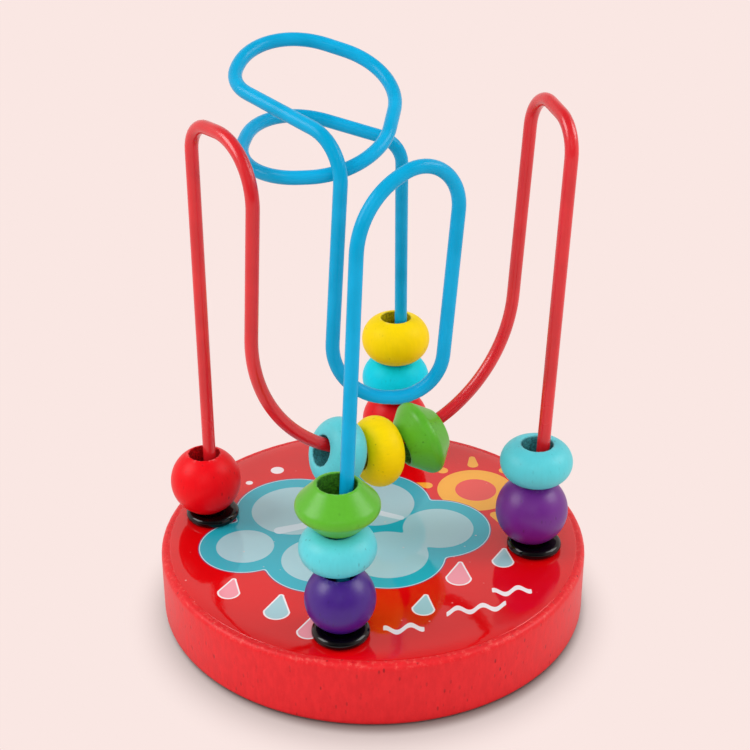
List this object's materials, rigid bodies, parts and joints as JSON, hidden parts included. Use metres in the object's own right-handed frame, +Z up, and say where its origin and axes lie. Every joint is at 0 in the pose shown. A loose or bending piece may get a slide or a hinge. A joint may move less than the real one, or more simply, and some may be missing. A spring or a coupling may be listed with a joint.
{
  "type": "bead maze",
  "caption": "Wooden bead maze toy: a round red base with two looping bent wires that carry sliding ball, ring and double-cone beads.",
  "frame": {"origin": "centre of the base's underside", "axes": "+Z up along the base's axis, -Y towards the front leg of the blue wire, +X to the right"},
  "size_m": [0.09, 0.09, 0.1169],
  "materials": {
    "base_red": "satin paint over wood with fine pores",
    "film_print": "glossy printed film: red ground with a cloud, sun and raindrops",
    "wire_red": "gloss lacquer",
    "wire_blue": "semi-gloss lacquer",
    "washer_black": "gloss",
    "bead_red": "satin paint over wood",
    "bead_purple": "satin paint over wood",
    "bead_teal": "satin paint over wood",
    "bead_green": "satin paint over wood",
    "bead_yellow": "satin paint over wood"
  },
  "bodies": {
    "frame": {"base": "base_red", "printed_film": "film_print", "red_wire": "wire_red", "blue_wire": "wire_blue", "washer_left": "washer_black", "washer_right": "washer_black", "washer_front": "washer_black", "washer_back": "washer_black"},
    "left_red": {"ball_left_red": "bead_red"},
    "right_purple": {"ball_right_purple": "bead_purple"},
    "right_teal": {"ring_right_teal": "bead_teal"},
    "front_purple": {"ball_front_purple": "bead_purple"},
    "front_teal": {"ring_front_teal": "bead_teal"},
    "front_green": {"cone_front_green": "bead_green"},
    "back_red": {"ball_back_red": "bead_red"},
    "back_teal": {"ring_back_teal": "bead_teal"},
    "back_yellow": {"ring_back_yellow": "bead_yellow"},
    "valley_yellow": {"ring_valley_yellow": "bead_yellow"},
    "valley_teal": {"ring_valley_teal": "bead_teal"},
    "valley_green": {"cone_valley_green": "bead_green"}
  },
  "joints": [
    {"name": "left_red_slide", "type": "slide", "parent": "frame", "child": "left_red", "axis": [0, 0, 1], "range_m": [0, 0.06]},
    {"name": "right_purple_slide", "type": "slide", "parent": "frame", "child": "right_purple", "axis": [0.031, 0.0709, 0.997], "range_m": [0, 0.026]},
    {"name": "right_teal_slide", "type": "slide", "parent": "right_purple", "child": "right_teal", "axis": [0.031, 0.0709, 0.997], "range_m": [0, 0.026]},
    {"name": "front_purple_slide", "type": "slide", "parent": "frame", "child": "front_purple", "axis": [0.0177, 0.1538, 0.9879], "range_m": [0, 0.01]},
    {"name": "front_teal_slide", "type": "slide", "parent": "front_purple", "child": "front_teal", "axis": [0.0177, 0.1538, 0.9879], "range_m": [0, 0.01]},
    {"name": "front_green_slide", "type": "slide", "parent": "front_teal", "child": "front_green", "axis": [0.0177, 0.1538, 0.9879], "range_m": [0, 0.01]},
    {"name": "back_red_slide", "type": "slide", "parent": "frame", "child": "back_red", "axis": [0.0246, -0.1663, 0.9858], "range_m": [0, 0.012]},
    {"name": "back_teal_slide", "type": "slide", "parent": "back_red", "child": "back_teal", "axis": [0.0246, -0.1663, 0.9858], "range_m": [0, 0.012]},
    {"name": "back_yellow_slide", "type": "slide", "parent": "back_teal", "child": "back_yellow", "axis": [0.0246, -0.1663, 0.9858], "range_m": [0, 0.012]},
    {"name": "valley_yellow_swing", "type": "hinge", "parent": "frame", "child": "valley_yellow", "pos_m": [0.0025, 0.0035, 0.0652], "axis": [0.6225, -0.7826, 0], "range_deg": [-25, 25]},
    {"name": "valley_teal_swing", "type": "hinge", "parent": "valley_yellow", "child": "valley_teal", "pos_m": [0.0025, 0.0035, 0.0652], "axis": [0.6225, -0.7826, 0], "range_deg": [-25, 0]},
    {"name": "valley_green_swing", "type": "hinge", "parent": "valley_yellow", "child": "valley_green", "pos_m": [0.0025, 0.0035, 0.0652], "axis": [0.6225, -0.7826, 0], "range_deg": [0, 25]}
  ]
}
